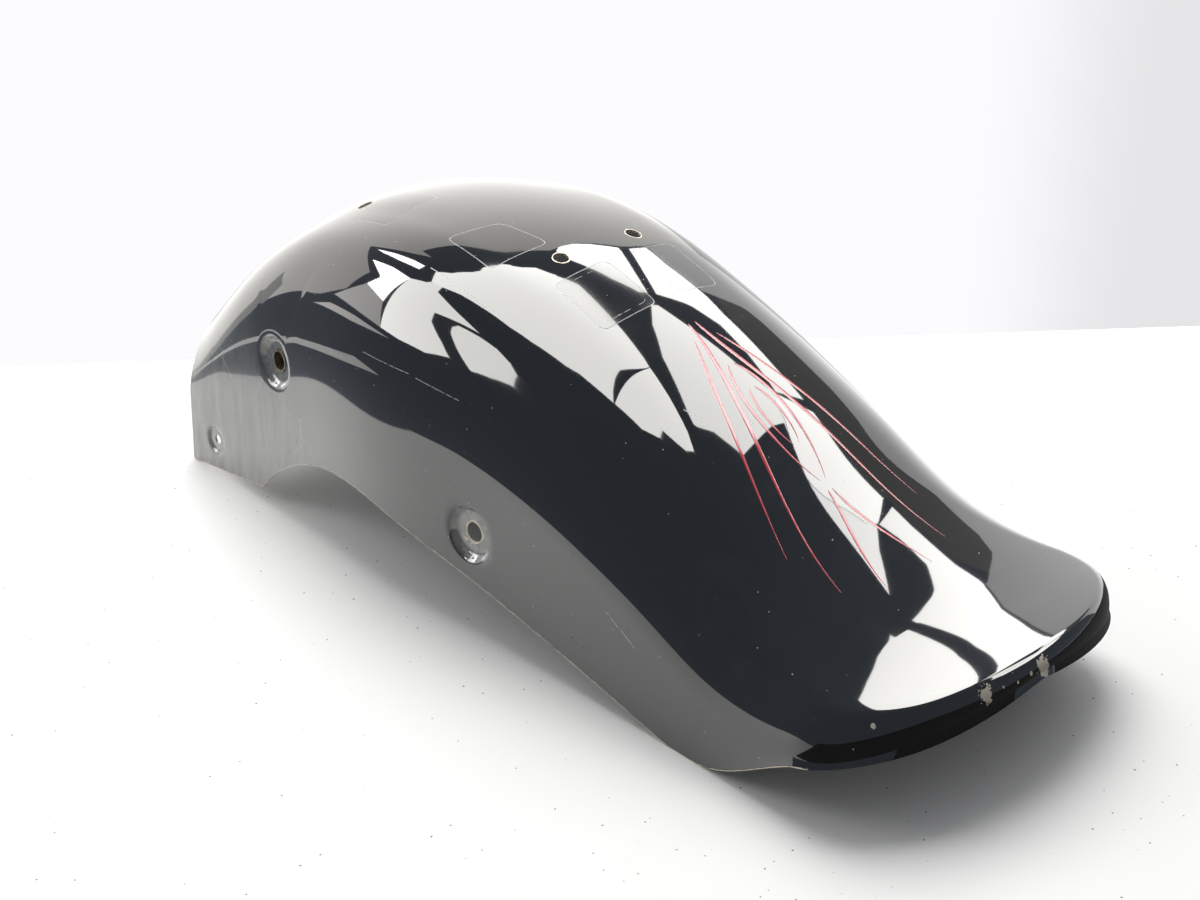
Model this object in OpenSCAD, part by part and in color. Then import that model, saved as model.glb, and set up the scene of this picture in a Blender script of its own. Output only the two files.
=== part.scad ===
// Rear fender of a motorcycle: one pressed steel sheet with a ducktail,
// dished bolt seats on both flanks and a turned-down lip.
// Millimetres. X runs from the front edge to the tail, Y across, Z up.
// The fender stands on the floor on its front corners and its rear corners.

/* [Sheet] */
// Thickness of the steel sheet
sheet_t = 1.6; // [1.2:0.1:2.4]
// Length from the front edge to the tip of the tail
length = 696; // [680:1:730]
// Overall width, across the lower edges beside the ducktail
width = 279; // [265:1:300]
// How far each flank leans outward at its lower edge
flank_lean = 2; // [0:0.5:6]

/* [Crown line] */
// Height of the crown at the front edge
front_h = 126.5; // [118:0.5:135]
// Height of the crown where it climbs over the wheel
climb_h = 183; // [175:0.5:190]
// Height of the crown where the climb eases
ease_h = 224; // [216:0.5:230]
// Greatest height of the crown
top_h = 242.5; // [235:0.5:250]
// Height of the crown behind its top
behind_h = 237.5; // [230:0.5:245]
// Height of the crown where it starts to fall
fall_h = 206.5; // [200:0.5:214]
// Height of the crown halfway down the back
back_h = 162; // [156:0.5:168]
// Height of the crown at the foot of the back
foot_h = 110.5; // [106:0.5:116]
// Height of the crown where the ducktail flattens
flat_h = 84.5; // [82:0.5:90]
// Height of the ducktail above its lip
tail_h = 76.5; // [74:0.5:82]

/* [Flanks] */
// How much closer to the middle each flank is at the front edge than at the tail
front_in = 28; // [20:0.5:34]
// The same at the front bolt seat
seat_in = 21; // [15:0.5:27]
// The same at the swell beside the wheel
swell_in = 6.5; // [2:0.5:12]
// The same at the waist
waist_in = 9; // [4:0.5:14]
// The same where the tail begins to flare
flare_in = 6.5; // [2:0.5:12]

/* [Crown's fall to the flanks] */
// How much lower the crown lies at the flank than in the middle, at the front
front_drop = 21.5; // [15:0.5:28]
// The same drop beside the wheel
wheel_drop = 27; // [20:0.5:32]
// The same drop down the back
back_drop = 26.5; // [20:0.5:32]
// The same drop at the tail
tail_drop = 5; // [3:0.5:8]
// Depth of the valley between crown and shoulder near the front
valley_depth = 3; // [0:0.5:5]

/* [Shoulder] */
// Width of the rounded shoulder at the front edge
front_shoulder_w = 49; // [40:1:58]
// Height of the rounded shoulder at the front edge
front_shoulder_h = 55; // [46:1:62]
// Width of the shoulder above the front bolt seat
seat_shoulder_w = 64; // [56:1:72]
// Height of the shoulder above the front bolt seat
seat_shoulder_h = 73; // [65:1:80]
// Width of the shoulder beside the wheel
wheel_shoulder_w = 71; // [62:1:80]
// Height of the shoulder beside the wheel
wheel_shoulder_h = 85; // [76:1:92]
// Width of the shoulder down the back
back_shoulder_w = 74; // [64:1:80]
// Height of the shoulder down the back
back_shoulder_h = 72; // [64:1:78]
// Width of the shoulder above the rear corner
rear_shoulder_w = 59; // [50:1:66]
// Height of the shoulder above the rear corner
rear_shoulder_h = 57; // [50:1:62]
// Width of the shoulder at the foot of the back
foot_shoulder_w = 39; // [30:1:46]
// Height of the shoulder at the foot of the back
foot_shoulder_h = 42; // [36:1:44]
// Width of the shoulder where the ducktail begins
tail_shoulder_w = 12; // [9:1:18]
// Height of the shoulder where the ducktail begins
tail_shoulder_h = 23; // [18:1:25]
// Radius of the turned-down lip
lip_r = 9; // [6:0.5:12]

/* [Lower edge] */
// Length of the front leg that the fender stands on
leg_len = 99; // [90:1:106]
// How far the front leg's edge rises to its rear corner
leg_rise = 12; // [8:0.5:15]
// Radius of the arch behind the front leg
arch_r = 164; // [155:1:175]
// Distance of the arch's top from the front edge
arch_at = 219; // [212:1:226]
// Height of the arch's top
arch_h = 65; // [60:0.5:70]
// Fall of the straight lower edge behind the arch, in degrees
edge_fall = 12.5; // [12:0.5:14]
// Distance from the front edge to where the rear corner leaves the floor
lift_at = 550; // [540:1:560]
// Height of the lip's lower edge beside the tail
lip_side_h = 45; // [40:1:48]
// Height of the lip's lower edge at the middle of the tail
lip_mid_h = 64; // [56:1:66]

/* [Ducktail] */
// Length of the rounded rear corners
corner_len = 67; // [62:1:76]
// Squareness of the rear corners, where 2 is an ellipse
corner_power = 2.2; // [2:0.05:2.8]

/* [Bolt seats] */
// Diameter of the dished seats
seat_d = 39; // [34:0.5:42]
// Depth of the dished seats
seat_depth = 5; // [3:0.5:6]
// Diameter of the flat floor of the seats
seat_floor_d = 30; // [26:0.5:31]
// Bolt hole in the rear seats
rear_hole_d = 13.5; // [10:0.5:16]
// Hole for the bush in the front seats
bush_hole_d = 17.6; // [15.6:0.1:19.6]
// Front seats: distance from the front edge
front_seat_x = 123.5; // [116:0.5:131]
// Front seats: height
front_seat_z = 120; // [114:1:126]
// Rear seats: distance from the front edge
rear_seat_x = 347.5; // [338:0.5:358]
// Rear seats: height
rear_seat_z = 72.5; // [68:0.5:78]

/* [Small front seats] */
// Diameter of the small front seats
small_seat_d = 22; // [18:0.5:24]
// Depth of the small front seats
small_seat_depth = 2; // [1:0.5:3]
// Screw hole in the small front seats
small_hole_d = 7.5; // [5:0.5:9]
// Small seats: distance from the front edge
small_seat_x = 34; // [30:1:40]
// Small seats: height
small_seat_z = 27.5; // [24:0.5:32]

/* [Top holes] */
// Diameter of the four holes in the crown
top_hole_d = 10.5; // [6:0.5:14]
// Rear pair: distance from the front edge
rear_pair_x = 333; // [325:1:345]
// Rear pair: half the distance between the two holes
rear_pair_half = 33; // [25:1:41]
// Front pair: distance from the front edge
front_pair_x = 141.5; // [133:0.5:150]
// Front pair: half the distance between the two holes
front_pair_half = 41.5; // [36:0.5:48]

/* [Bushes] */
// Bore of the steel bushes in the front seats
bush_bore_d = 13.5; // [11:0.5:14.5]
// How far a bush stands above the floor of its seat
bush_proud = 0.8; // [0.4:0.1:1.6]
// Length of the bush behind the sheet
bush_back = 7; // [5:0.5:10]
// Thickness of the collar that bears on the inside of the sheet
collar_t = 2; // [1.5:0.1:3]
// Clearance between a bush and the sheet
bush_gap = 0.3; // [0.2:0.05:0.5]

/* [Hidden] */
$fn = 96;

lacquer = [0.03, 0.03, 0.035];
bare_steel = [0.55, 0.50, 0.42];

// Rows of the sheet's mesh along each flank and round each rear corner,
// and columns over the crown, round the shoulder and down the flank.
leg_rows = 6;
flank_rows = 23;
corner_rows = 11;
half_rows = leg_rows + flank_rows + corner_rows;
crown_cols = 7;
roll_cols = 8;
wall_cols = 5;
cols = crown_cols + roll_cols + wall_cols;

// Everything is centred on the middle of the whole fender, leaning lip included.
mid_x = (length + flank_lean) / 2;
corner_x = length - corner_len;
// The last cross sections fan out from a spine that stops short of the lip.
fan_len = 60;
// The ducktail's lower edge is fully lifted a little way round the corner.
lift_end = corner_x + 0.45 * corner_len;

crown_x = [0, 60, 130, 220, 320, 410, 490, 560, 630, length];
crown_z = [front_h, climb_h, ease_h, top_h, behind_h, fall_h, back_h, foot_h, flat_h, tail_h];
width_x = [0, 130, 250, 370, 490, corner_x];
tail_half_w = width / 2 - flank_lean;
width_y = [for (v = [front_in, seat_in, swell_in, waist_in, flare_in, 0]) tail_half_w - v];
drop_x = [0, 230, 460, length];
drop_z = [front_drop, wheel_drop, back_drop, tail_drop];
roll_x = [0, 140, 300, 460, 540, 600, 650, length];
roll_w = [front_shoulder_w, seat_shoulder_w, wheel_shoulder_w, back_shoulder_w,
          rear_shoulder_w, foot_shoulder_w, tail_shoulder_w, lip_r];
roll_h = [front_shoulder_h, seat_shoulder_h, wheel_shoulder_h, back_shoulder_h,
          rear_shoulder_h, foot_shoulder_h, tail_shoulder_h, lip_r];

// Slopes of the sheet are taken over this short way to each side.
slope_step = 1;

// The valley is a soft trough: its middle and reach along X,
// and its middle and reach as shares of the half width.
valley_at = 140;
valley_reach = 130;
valley_share = 0.52;
valley_spread = 0.17;

function clamp(v, low, high) = min(max(v, low), high);

// Number of the span of a rising list that holds x
function span(xs, x, i = 0) =
    (i >= len(xs) - 2 || x < xs[i + 1]) ? i : span(xs, x, i + 1);

// Slope of a curve at point i, taken from the points on each side
function slope_at(xs, ys, i) =
    let (a = max(i - 1, 0), b = min(i + 1, len(xs) - 1))
    (ys[b] - ys[a]) / (xs[b] - xs[a]);

// Smooth curve through the points: a cubic in each span that keeps the slopes
function curve(xs, ys, x) =
    let (i = span(xs, x), h = xs[i + 1] - xs[i], t = clamp((x - xs[i]) / h, 0, 1))
    (2 * t^3 - 3 * t^2 + 1) * ys[i]
    + (t^3 - 2 * t^2 + t) * h * slope_at(xs, ys, i)
    + (3 * t^2 - 2 * t^3) * ys[i + 1]
    + (t^3 - t^2) * h * slope_at(xs, ys, i + 1);

function half_width(x) = curve(width_x, width_y, min(x, corner_x));
function crown(x) = curve(crown_x, crown_z, x);
function crown_slope(x) = (crown(x + slope_step) - crown(x - slope_step)) / (2 * slope_step);

// Trough between crown and shoulder: 1 at its middle, 0 beyond its reach
function fade(v, middle, reach) =
    let (t = clamp(abs(v - middle) / reach, 0, 1)) (1 - t^2)^2;
function valley(x, share) =
    valley_depth * fade(x, valley_at, valley_reach) * exp(-((share - valley_share) / valley_spread)^2);

// Height of the top surface, before its edge is rolled down
function top_z(x, y, inset) =
    let (share = abs(y) / half_width(x))
    crown(x) - curve(drop_x, drop_z, x) * share^2 - valley(x, share)
    - inset * sqrt(1 + crown_slope(x)^2);

// Lower edge: the leg, the arch, the straight edge and the lifted tail
function leg_z(x) = leg_rise * x / leg_len;
function arch_z(x) = arch_h - arch_r + sqrt(max(arch_r^2 - (x - arch_at)^2, 0));
straight_x = arch_at + arch_r * sin(edge_fall);
straight_z = arch_z(straight_x);
function flank_edge_z(x) =
    x <= leg_len ? leg_z(x)
    : x < straight_x ? max(arch_z(x), leg_z(leg_len))
    : max(straight_z - tan(edge_fall) * (x - straight_x), 0);
function ramp(t) = let (u = clamp(t, 0, 1)) u^2 * (3 - 2 * u);
function lower_z(x, along) =
    let (lift = ramp((along - lift_at) / (lift_end - lift_at)),
         round = clamp((along - corner_x) / corner_len, 0, 1))
    flank_edge_z(x) * (1 - lift) + lip_side_h * lift + (lip_mid_h - lip_side_h) * round^2;

// Distance of a row along the outline, from the front edge to the tail's tip
function row_turn(i) = 90 * clamp((i - leg_rows - flank_rows) / corner_rows, 0, 1);
function row_along(i) =
    i <= leg_rows ? leg_len * i / leg_rows
    : i <= leg_rows + flank_rows ? leg_len + (corner_x - leg_len) * (i - leg_rows) / flank_rows
    : corner_x + corner_len * row_turn(i) / 90;

// Outline of the sheet in plan at row i, drawn in by inset
function row_edge(i, inset) =
    let (turn = row_turn(i), along = row_along(i), w = half_width(along) - inset)
    turn == 0 ? [along, w]
    : [corner_x + (corner_len - inset) * sin(turn)^(2 / corner_power),
       turn == 90 ? 0 : w * cos(turn)^(2 / corner_power)];
function row_spine(i) =
    let (turn = row_turn(i))
    turn == 0 ? row_along(i) : corner_x + (corner_len - fan_len) * sin(turn);

// Point of the half with Y positive: row i, column j, drawn in by inset
function sheet_point(i, j, inset) =
    let (spine = [row_spine(i), 0],
         edge = row_edge(i, inset),
         along = row_along(i),
         reach = norm(edge - spine),
         aim = (edge - spine) / reach,
         rw = min(curve(roll_x, roll_w, along) - inset, 0.95 * reach),
         rh = curve(roll_x, roll_h, along) - inset)
    j <= crown_cols
    ? let (p = spine + aim * (reach - rw) * j / crown_cols)
      [p[0], p[1], top_z(p[0], p[1], inset)]
    : j < crown_cols + roll_cols
    ? let (a = 90 * (j - crown_cols) / roll_cols, p = spine + aim * (reach - rw + rw * sin(a)))
      [p[0], p[1], top_z(p[0], p[1], inset) - rh * (1 - cos(a))]
    : let (down = (j - crown_cols - roll_cols) / wall_cols,
           p = edge + aim * flank_lean * down,
           from = top_z(edge[0], edge[1], inset) - rh,
           to = lower_z(edge[0], along))
      [p[0], p[1], from + (to - from) * down];

// Rows run from the front of the right flank, round the tail, to the front
// of the left flank. Column 0 is the spine, which both halves share.
rows = 2 * half_rows + 1;
function row_of(k) = half_rows - abs(k - half_rows);
function side_of(k) = k <= half_rows ? 1 : -1;
function skin(inset) = [
    for (k = [0 : rows - 1], j = [0 : cols])
        let (p = sheet_point(row_of(k), j, inset))
        [p[0] - mid_x, p[1] * side_of(k), p[2]]];
function id(k, j) = (j == 0 ? row_of(k) : k) * (cols + 1) + j;

module pressed_sheet() {
    points = concat(skin(0), skin(sheet_t));
    deep = rows * (cols + 1);
    faces = [
        for (k = [0 : rows - 2], j = [0 : cols - 1])
            let (a = id(k, j), b = id(k, j + 1), c = id(k + 1, j + 1), d = id(k + 1, j))
            each [[a, b, c], [a, c, d], [deep + a, deep + c, deep + b], [deep + a, deep + d, deep + c]],
        for (k = [0 : rows - 2])
            let (a = id(k, cols), b = id(k + 1, cols))
            each [[a, deep + a, b], [deep + a, deep + b, b]],
        for (j = [0 : cols - 1], k = [0, rows - 1])
            let (flip = k > 0, a = id(k, j), b = id(k, j + 1))
            each (flip ? [[a, b, deep + a], [b, deep + b, deep + a]]
                       : [[a, deep + a, b], [b, deep + a, deep + b]])];
    polyhedron(points, [for (f = faces) if (f[0] != f[1] && f[1] != f[2] && f[2] != f[0]) f]);
}

// The flank beside a seat: its height under the shoulder and its Y, which
// draws in where the seat reaches up onto the shoulder.
function flank_top(x) =
    top_z(x, half_width(x), 0) - curve(roll_x, roll_h, x);
function flank_y(x, z) =
    let (below = flank_top(x) - z, whole = flank_top(x) - flank_edge_z(x))
    below > 0
    ? half_width(x) + flank_lean * below / whole
    : half_width(x) - curve(roll_x, roll_w, x) * (1 - sqrt(1 - (below / curve(roll_x, roll_h, x))^2));

// Seat plane across a seat of diameter d: its lean, its turn and its Y
function seat_lean(x, z, d) = atan((flank_y(x, z - d / 2) - flank_y(x, z + d / 2)) / d);
function seat_turn(x, d) = atan((half_width(x + d / 2) - half_width(x - d / 2)) / d);
function seat_y(x, z, d) =
    (flank_y(x, z - d / 2) + 2 * flank_y(x, z) + flank_y(x, z + d / 2)) / 4;

// Places children on the outer face of the left or right flank,
// with their Z axis pointing out of the fender.
module on_flank(x, z, d, side) {
    mirror([0, side < 0 ? 1 : 0, 0])
        translate([x - mid_x, seat_y(x, z, d), z])
            rotate([0, 0, seat_turn(x, d)])
                rotate([seat_lean(x, z, d) - 90, 0, 0])
                    children();
}

// Cup of a seat: a rim inside the sheet, a sloping wall and a flat floor
rim_below = 0.4;
module seat_cup(rim_d, floor_d, depth, hole_d) {
    rim = rim_d / 2;
    floor_r = floor_d / 2;
    back = depth + sheet_t;
    rotate_extrude()
        polygon([
            [rim, -rim_below],
            [rim + sheet_t, -rim_below],
            [rim + sheet_t, -rim_below - sheet_t],
            [floor_r + sheet_t, -back],
            [hole_d / 2, -back],
            [hole_d / 2, -depth],
            [floor_r, -depth]]);
}

module seat_opening(rim_d) {
    translate([0, 0, -sheet_t * 4])
        cylinder(h = sheet_t * 8, d = rim_d + sheet_t);
}

// The small seats keep the same slope as the large ones.
small_floor_d = small_seat_d - (seat_d - seat_floor_d) * small_seat_depth / seat_depth;

module seats(side, cut) {
    on_flank(front_seat_x, front_seat_z, seat_d, side) {
        if (cut) seat_opening(seat_d);
        else seat_cup(seat_d, seat_floor_d, seat_depth, bush_hole_d);
    }
    on_flank(rear_seat_x, rear_seat_z, seat_d, side) {
        if (cut) seat_opening(seat_d);
        else seat_cup(seat_d, seat_floor_d, seat_depth, rear_hole_d);
    }
    on_flank(small_seat_x, small_seat_z, small_seat_d, side) {
        if (cut) seat_opening(small_seat_d);
        else seat_cup(small_seat_d, small_floor_d, small_seat_depth, small_hole_d);
    }
}

// A hole in the crown, square to the sheet
module top_hole(x, y) {
    lean_x = atan(crown_slope(x));
    fall = top_z(x, abs(y) + slope_step, 0) - top_z(x, abs(y) - slope_step, 0);
    lean_y = atan(fall / (2 * slope_step)) * sign(y);
    translate([x - mid_x, y, top_z(x, y, 0)])
        rotate([lean_y, -lean_x, 0])
            translate([0, 0, -6 * sheet_t])
                cylinder(h = 12 * sheet_t, d = top_hole_d);
}

module fender_shell() {
    color(lacquer)
    difference() {
        union() {
            difference() {
                pressed_sheet();
                for (side = [-1, 1]) seats(side, true);
            }
            for (side = [-1, 1]) seats(side, false);
        }
        for (side = [-1, 1]) {
            top_hole(rear_pair_x, side * rear_pair_half);
            top_hole(front_pair_x, side * front_pair_half);
        }
    }
}

// Steel bush in a front seat, held from inside by its collar
module front_bush(side) {
    outer_r = bush_hole_d / 2 - bush_gap;
    bore_r = bush_bore_d / 2;
    collar_r = bush_hole_d / 2 + collar_t;
    face = -seat_depth + bush_proud;
    seat_back = -seat_depth - sheet_t - bush_gap;
    color(bare_steel)
    on_flank(front_seat_x, front_seat_z, seat_d, side)
        rotate_extrude()
            polygon([
                [bore_r, face],
                [outer_r, face],
                [outer_r, seat_back],
                [collar_r, seat_back],
                [collar_r, seat_back - collar_t],
                [outer_r, seat_back - collar_t],
                [outer_r, seat_back - bush_back],
                [bore_r, seat_back - bush_back]]);
}

fender_shell();
front_bush(-1);  // front_bush_left
front_bush(1);  // front_bush_right
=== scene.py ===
"""Rear fender of a motorcycle: pressed steel in gloss black lacquer, on a pale table."""

import bpy
import numpy as np
from mathutils import Matrix, Vector


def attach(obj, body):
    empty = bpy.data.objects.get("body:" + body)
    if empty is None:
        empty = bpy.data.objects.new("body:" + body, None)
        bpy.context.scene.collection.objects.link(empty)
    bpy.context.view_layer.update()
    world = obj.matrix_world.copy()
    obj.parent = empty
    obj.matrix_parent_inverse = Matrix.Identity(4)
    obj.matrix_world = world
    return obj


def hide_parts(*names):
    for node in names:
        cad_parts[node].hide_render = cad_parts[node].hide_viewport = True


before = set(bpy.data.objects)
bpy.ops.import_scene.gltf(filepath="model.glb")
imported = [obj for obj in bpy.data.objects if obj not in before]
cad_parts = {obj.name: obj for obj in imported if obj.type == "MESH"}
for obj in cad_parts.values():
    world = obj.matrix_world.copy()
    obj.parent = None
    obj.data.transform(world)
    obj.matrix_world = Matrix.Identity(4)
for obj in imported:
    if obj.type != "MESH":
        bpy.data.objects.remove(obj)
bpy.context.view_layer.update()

MM = 0.001

# Sizes of the pressed sheet in millimetres, x from its front edge
SHEET = 1.6
LENGTH = 696.0
LEAN = 2.0
MID_X = (LENGTH + LEAN) / 2
CORNER_LEN = 67.0
CORNER_X = LENGTH - CORNER_LEN
CORNER_POWER = 2.2
FAN_LEN = 60.0
TAIL_HALF = 279.0 / 2 - LEAN
CROWN = (
    (0, 60, 130, 220, 320, 410, 490, 560, 630, LENGTH),
    (126.5, 183, 224, 242.5, 237.5, 206.5, 162, 110.5, 84.5, 76.5),
)
HALF_WIDTH = (
    (0, 130, 250, 370, 490, CORNER_X),
    (TAIL_HALF - 28, TAIL_HALF - 21, TAIL_HALF - 6.5, TAIL_HALF - 9, TAIL_HALF - 6.5, TAIL_HALF),
)
DROP = ((0, 230, 460, LENGTH), (21.5, 27, 26.5, 5))
SHOULDER_X = (0, 140, 300, 460, 540, 600, 650, LENGTH)
SHOULDER_W = (SHOULDER_X, (49, 64, 71, 74, 59, 39, 12, 9))
SHOULDER_H = (SHOULDER_X, (55, 73, 85, 72, 57, 42, 23, 9))
VALLEY_DEPTH, VALLEY_AT, VALLEY_REACH = 3.0, 140.0, 130.0
VALLEY_SHARE, VALLEY_SPREAD = 0.52, 0.17
LEG_LEN, LEG_RISE = 99.0, 12.0
ARCH_R, ARCH_AT, ARCH_H = 164.0, 219.0, 65.0
EDGE_FALL = np.radians(12.5)
LIFT_AT, LIP_SIDE_H, LIP_MID_H = 550.0, 45.0, 64.0
# Way over which the outlines are faired
FAIR = 34.0
LIFT_END = CORNER_X + 0.45 * CORNER_LEN


def spans(points, x):
    """Smooth curve through points: a cubic in each span that keeps slopes taken from both sides."""
    xs, ys = (np.asarray(p, float) for p in points)
    slope = np.empty(len(xs))
    slope[1:-1] = (ys[2:] - ys[:-2]) / (xs[2:] - xs[:-2])
    slope[0] = (ys[1] - ys[0]) / (xs[1] - xs[0])
    slope[-1] = (ys[-1] - ys[-2]) / (xs[-1] - xs[-2])
    i = np.clip(np.searchsorted(xs, x, side="right") - 1, 0, len(xs) - 2)
    h = xs[i + 1] - xs[i]
    t = np.clip((x - xs[i]) / h, 0, 1)
    return (
        (2 * t**3 - 3 * t**2 + 1) * ys[i]
        + (t**3 - 2 * t**2 + t) * h * slope[i]
        + (3 * t**2 - 2 * t**3) * ys[i + 1]
        + (t**3 - t**2) * h * slope[i + 1]
    )


def curve(points, x):
    """The same curve, faired as a die maker would: a bell-weighted mean over a short way to both sides."""
    x = np.asarray(x, float)
    reach = np.minimum(FAIR, np.minimum(x, LENGTH - x).clip(0) + 1e-6)
    offsets = np.linspace(-1, 1, 9)
    weights = np.cos(offsets * np.pi / 2.3) ** 2
    return sum(w * spans(points, x + o * reach) for o, w in zip(offsets, weights)) / weights.sum()


def ramp(t):
    """0 to 1 with level ends: u squared times 3 minus 2u."""
    u = np.clip(t, 0, 1)
    return u * u * (3 - 2 * u)


def half_width(x):
    return curve(HALF_WIDTH, np.minimum(x, CORNER_X))


def roll_w(x):
    return curve(SHOULDER_W, x)


def roll_h(x):
    return curve(SHOULDER_H, x)


def top_z(x, y):
    """Crown height, less the drop towards the flank (square of the share of half width) and the valley."""
    share = np.abs(y) / half_width(x)
    t = np.clip(np.abs(x - VALLEY_AT) / VALLEY_REACH, 0, 1)
    valley = VALLEY_DEPTH * (1 - t**2) ** 2 * np.exp(-(((share - VALLEY_SHARE) / VALLEY_SPREAD) ** 2))
    return curve(CROWN, x) - curve(DROP, x) * share**2 - valley


def arch_z(x):
    return ARCH_H - ARCH_R + np.sqrt(np.maximum(ARCH_R**2 - (x - ARCH_AT) ** 2, 0))


def lower_z(x, along):
    """Lower edge: leg, arch, straight fall to the floor, then the lift to the lip round the tail."""
    straight_x = ARCH_AT + ARCH_R * np.sin(EDGE_FALL)
    leg = LEG_RISE * x / LEG_LEN
    fall = np.maximum(arch_z(straight_x) - np.tan(EDGE_FALL) * (x - straight_x), 0)
    edge = np.where(x <= LEG_LEN, leg, np.where(x < straight_x, np.maximum(arch_z(x), LEG_RISE), fall))
    lift = ramp((along - LIFT_AT) / (LIFT_END - LIFT_AT))
    turn = np.clip((along - CORNER_X) / CORNER_LEN, 0, 1)
    raised = edge * (1 - lift) + LIP_SIDE_H * lift + (LIP_MID_H - LIP_SIDE_H) * turn**2
    return np.maximum(raised, 0.15)


def flank_top(x):
    return top_z(x, half_width(x)) - roll_h(x)


def crown_surface(x, y):
    """Point over (x, y): the crown, rolled down by an elliptic quarter near the flank."""
    w, rw = half_width(x), roll_w(x)
    a = np.arcsin(np.clip((np.abs(y) - (w - rw)) / rw, 0, 1))
    return np.stack([x, y, top_z(x, y) - roll_h(x) * (1 - np.cos(a))], -1)


def flank_surface(x, z):
    """Point of the flank at (x, z): straight and leaning below the shoulder, elliptic above it."""
    w, rw, rh = half_width(x), roll_w(x), roll_h(x)
    top, low = flank_top(x), lower_z(x, x)
    y = w + LEAN * np.clip((top - z) / (top - low), 0, 1)
    rolled = w.copy()
    for _ in range(12):
        c = np.clip(1 - (top_z(x, rolled) - z) / rh, 0, 0.97)
        rolled = w - rw + rw * np.sqrt(1 - c * c)
    return np.stack([x, np.where(z > top, rolled, y), z], -1)


# Columns of the half section: crown, shoulder, flank
CROWN_COLS, ROLL_COLS, WALL_COLS = 16, 28, 50
COLS = CROWN_COLS + ROLL_COLS + WALL_COLS


def half_section(along):
    """Sections of the right half, one row for each distance along the outline.

    Crown: from the spine outwards. Shoulder: an elliptic quarter. Flank: straight down to the lower
    edge, leaning outwards. Round the rear corner the sections fan out along a superellipse.
    """
    turn = np.radians(90 * np.clip((along - CORNER_X) / CORNER_LEN, 0, 1))
    w = half_width(along)
    bend = turn > 0
    far = turn >= np.pi / 2 - 1e-9
    ex = np.where(bend, CORNER_X + CORNER_LEN * np.sin(turn) ** (2 / CORNER_POWER), along)
    ey = np.where(bend, w * np.maximum(np.cos(turn), 0) ** (2 / CORNER_POWER), w)
    ey = np.where(far, 0, ey)
    spine = np.where(bend, CORNER_X + (CORNER_LEN - FAN_LEN) * np.sin(turn), along)
    reach = np.hypot(ex - spine, ey)
    dx, dy = (ex - spine) / reach, ey / reach
    rw = np.minimum(roll_w(along), 0.95 * reach)
    rh = roll_h(along)
    t = np.arange(CROWN_COLS) / CROWN_COLS
    a = np.radians(90 * np.arange(ROLL_COLS) / ROLL_COLS)
    q = np.linspace(0, 1, WALL_COLS + 1)
    out = np.concatenate([np.outer(reach - rw, t), (reach - rw)[:, None] + np.outer(rw, np.sin(a))], 1)
    x, y = spine[:, None] + dx[:, None] * out, dy[:, None] * out
    z = top_z(x, y)
    z[:, CROWN_COLS:] -= np.outer(rh, 1 - np.cos(a))
    start = top_z(ex, ey) - rh
    end = lower_z(ex, along)
    wall = np.stack([
        ex[:, None] + np.outer(dx, LEAN * q),
        ey[:, None] + np.outer(dy, LEAN * q),
        start[:, None] + np.outer(end - start, q),
    ], -1)
    return np.concatenate([np.stack([x, y, z], -1), wall], 1)


def spaced_rows(coarse, fine, places, corner_rows):
    """Distances along the outline: coarse steps that tighten to fine ones near the given places."""
    x = np.linspace(0, CORNER_X, 6001)
    near = np.max([1 / (1 + ((x - at) / reach) ** 8) for at, reach in places], 0)
    count = np.cumsum(1 / coarse + (1 / fine - 1 / coarse) * near) * (x[1] - x[0])
    count -= count[0]
    steps = int(round(count[-1]))
    straight = np.interp(np.arange(steps) * count[-1] / steps, count, x)
    return np.concatenate([straight, np.linspace(CORNER_X, LENGTH, corner_rows + 1)])


# Seats and holes: x, height or half spacing, ring radii from the hole's edge out, dish depth
FRONT_SEAT = dict(
    at=(123.5, 120.0), rim=19.5 + 1.2, floor=14.4, depth=5.0, hole=8.8, hole_ring=4, last=13, blend=5,
)
REAR_SEAT = dict(
    at=(347.5, 72.5), rim=19.5 + 1.2, floor=14.4, depth=5.0, hole=6.75, hole_ring=4, last=13, blend=3,
)
SMALL_SEAT = dict(at=(34.0, 27.5), rim=11 + 0.6, floor=8.6, depth=2.0, hole=3.75, hole_ring=3, last=9, blend=5)
TOP_HOLES = (
    dict(at=(333.0, 33.0), hole=5.25, hole_ring=3, blend=4),
    dict(at=(141.5, 41.5), hole=5.25, hole_ring=3, blend=4),
)


def squared_rings(points, native, spot, sign):
    """Bends the square rings of the grid round a spot into circles.

    native holds the two coordinates that span the surface there. The grid ring number m becomes a
    circle whose radius runs from the hole to the last ring, and a blend leads back to the grid.
    """
    u0, v0 = spot["at"]
    centre = np.unravel_index(np.argmin(np.hypot(native[..., 0] - u0, native[..., 1] - v0)), native.shape[:2])
    i, j = np.indices(native.shape[:2])
    di, dj = i - centre[0], j - centre[1]
    m = np.maximum(np.abs(di), np.abs(dj)).astype(float)
    length = np.maximum(np.hypot(di, dj), 1e-9)
    radius = np.interp(m, spot["ring_no"], spot["ring_r"])
    radius += np.maximum(m - spot["last"], 0) * spot["step"]
    keep = 1 - ramp((m - spot["last"]) / spot["blend"])
    u = keep * (u0 + radius * di / length) + (1 - keep) * native[..., 0]
    v = keep * (v0 + sign * radius * dj / length) + (1 - keep) * native[..., 1]
    moved = keep > 0
    hole = m <= spot["hole_ring"]
    return u, v, radius, moved, hole


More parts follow.
